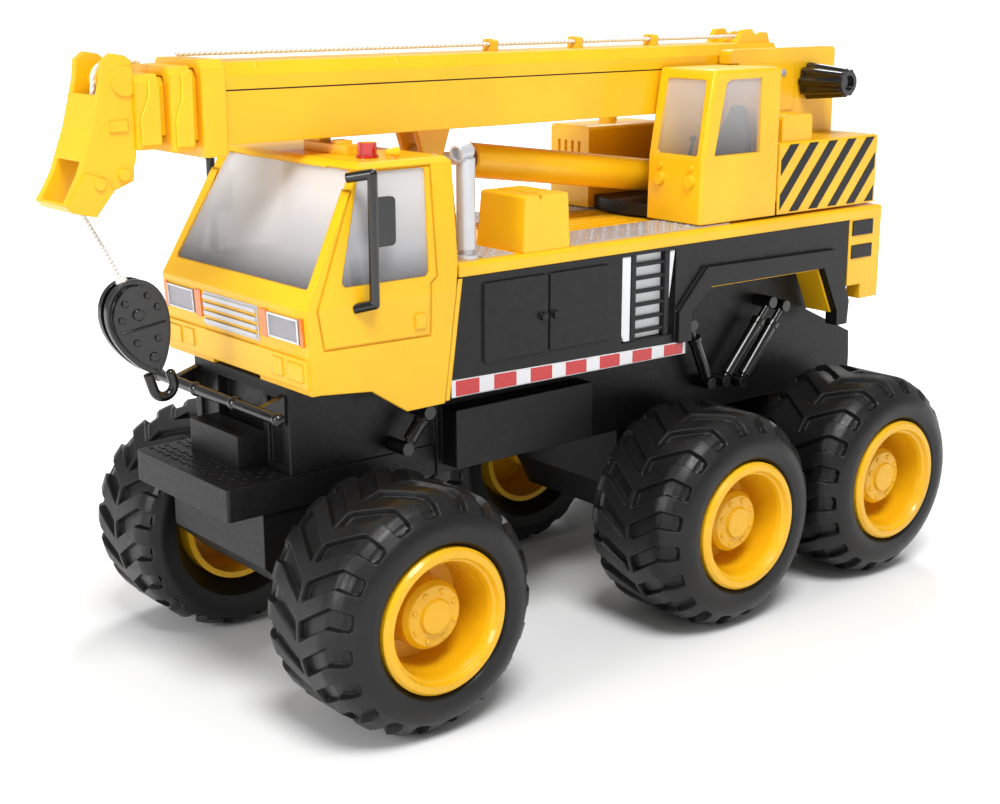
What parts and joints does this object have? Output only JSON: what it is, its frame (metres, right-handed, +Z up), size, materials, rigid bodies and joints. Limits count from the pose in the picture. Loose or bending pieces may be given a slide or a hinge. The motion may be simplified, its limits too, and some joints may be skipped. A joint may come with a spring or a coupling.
{
  "type": "toy mobile crane truck",
  "caption": "Toy crane truck on big lugged wheels, with a driver's cab, a slewing turret with its own cab, a telescopic lifting boom, and a hook block on a string.",
  "frame": {"origin": "on the ground, below the middle of the overall length and width", "axes": "+X to the front of the truck, where the driver's cab and the boom head are, +Y to its left, +Z up"},
  "size_m": [0.2828, 0.1354, 0.1734],
  "materials": {
    "yellow_plastic": "satin",
    "rim_yellow": "satin",
    "gloss_black": "satin",
    "chassis_black": "matte",
    "panel_black": "satin",
    "paint_silver": "satin",
    "tyre_rubber": "satin",
    "window_clear": "gloss",
    "seat_grey": "matte",
    "lens_grey": "gloss",
    "lens_orange": "gloss",
    "lens_red": "gloss",
    "tape_red_white": "satin",
    "bright_steel": "satin",
    "white_string": "matte"
  },
  "bodies": {
    "chassis": {"axle_housings": "chassis_black", "cab_glazing": "window_clear", "cab_seats": "seat_grey", "cab_shell": "yellow_plastic", "chassis_frame": "chassis_black", "chassis_screws": "bright_steel", "dashboard": "chassis_black", "deck": "yellow_plastic", "deck_boxes": "yellow_plastic", "exhaust_stack": "paint_silver", "front_step": "chassis_black", "grille": "paint_silver", "headlights": "lens_grey", "ladder_backings": "paint_silver", "mirror_bars": "gloss_black", "push_bar": "gloss_black", "reflector_strips": "tape_red_white", "roof_beacon": "lens_red", "roof_fittings": "yellow_plastic", "shock_absorbers": "gloss_black", "side_panels": "panel_black", "tail_lamps": "panel_black", "tread_plates": "paint_silver", "turn_markers": "lens_orange"},
    "turret": {"turret_base": "chassis_black", "operator_cab": "yellow_plastic", "operator_cab_glazing": "window_clear", "operator_seat": "seat_grey", "control_levers": "chassis_black", "counterweight": "yellow_plastic", "winch_housing": "yellow_plastic", "engine_box": "yellow_plastic", "boom_pivot_pin": "bright_steel", "barrel_pin": "bright_steel"},
    "winch": {"crank_knob": "gloss_black", "winch_drum": "chassis_black"},
    "boom_base": {"boom_channel": "yellow_plastic", "boom_cover": "yellow_plastic", "rod_pin": "bright_steel", "string_top": "white_string"},
    "boom_mid": {"boom_mid_section": "yellow_plastic"},
    "boom_tip": {"boom_tip_section": "yellow_plastic", "boom_head": "yellow_plastic", "head_sheave": "yellow_plastic", "string_head": "white_string"},
    "hook": {"hoist_string": "white_string", "hook_block": "gloss_black", "hook_knot": "white_string", "hook": "gloss_black"},
    "barrel": {"lift_barrel": "yellow_plastic"},
    "rod": {"lift_rod": "paint_silver"},
    "front_wheels": {"axle_front": "bright_steel", "rims_front": "rim_yellow", "tyres_front": "tyre_rubber"},
    "middle_wheels": {"axle_middle": "bright_steel", "rims_middle": "rim_yellow", "tyres_middle": "tyre_rubber"},
    "rear_wheels": {"axle_rear": "bright_steel", "rims_rear": "rim_yellow", "tyres_rear": "tyre_rubber"}
  },
  "joints": [
    {"name": "turret_slew", "type": "hinge", "parent": "chassis", "child": "turret", "pos_m": [-0.0821, 0, 0.1165], "axis": [0, 0, 1], "continuous": true},
    {"name": "boom_lift", "type": "hinge", "parent": "turret", "child": "boom_base", "pos_m": [-0.1047, 0, 0.1597], "axis": [0, -1, 0], "range_deg": [0, 40]},
    {"name": "boom_mid_slide", "type": "slide", "parent": "boom_base", "child": "boom_mid", "axis": [1, 0, 0], "range_m": [0, 0.055]},
    {"name": "boom_tip_slide", "type": "slide", "parent": "boom_mid", "child": "boom_tip", "axis": [1, 0, 0], "range_m": [0, 0.055]},
    {"name": "hook_swing", "type": "hinge", "parent": "boom_tip", "child": "hook", "pos_m": [0.1334, 0, 0.1333], "axis": [0, -1, 0], "range_deg": [-8, 50]},
    {"name": "crank_turn", "type": "hinge", "parent": "turret", "child": "winch", "pos_m": [-0.118, 0, 0.1567], "axis": [0, 1, 0], "continuous": true},
    {"name": "barrel_tilt", "type": "hinge", "parent": "turret", "child": "barrel", "pos_m": [-0.0791, 0, 0.126], "axis": [0, -1, 0], "range_deg": [0, 43]},
    {"name": "rod_tilt", "type": "hinge", "parent": "boom_base", "child": "rod", "pos_m": [0.0299, 0, 0.1406], "axis": [0, -1, 0], "range_deg": [-1, 4]},
    {"name": "front_wheels_roll", "type": "hinge", "parent": "chassis", "child": "front_wheels", "pos_m": [0.0745, 0, 0.0327], "axis": [0, 1, 0], "continuous": true},
    {"name": "middle_wheels_roll", "type": "hinge", "parent": "chassis", "child": "middle_wheels", "pos_m": [-0.0386, 0, 0.0327], "axis": [0, 1, 0], "continuous": true},
    {"name": "rear_wheels_roll", "type": "hinge", "parent": "chassis", "child": "rear_wheels", "pos_m": [-0.1087, 0, 0.0327], "axis": [0, 1, 0], "continuous": true}
  ],
  "couplings": [
    {"joint": "barrel_tilt", "follows": "boom_lift", "ratio": 1.07},
    {"joint": "rod_tilt", "follows": "boom_lift", "ratio": 0.07}
  ]
}
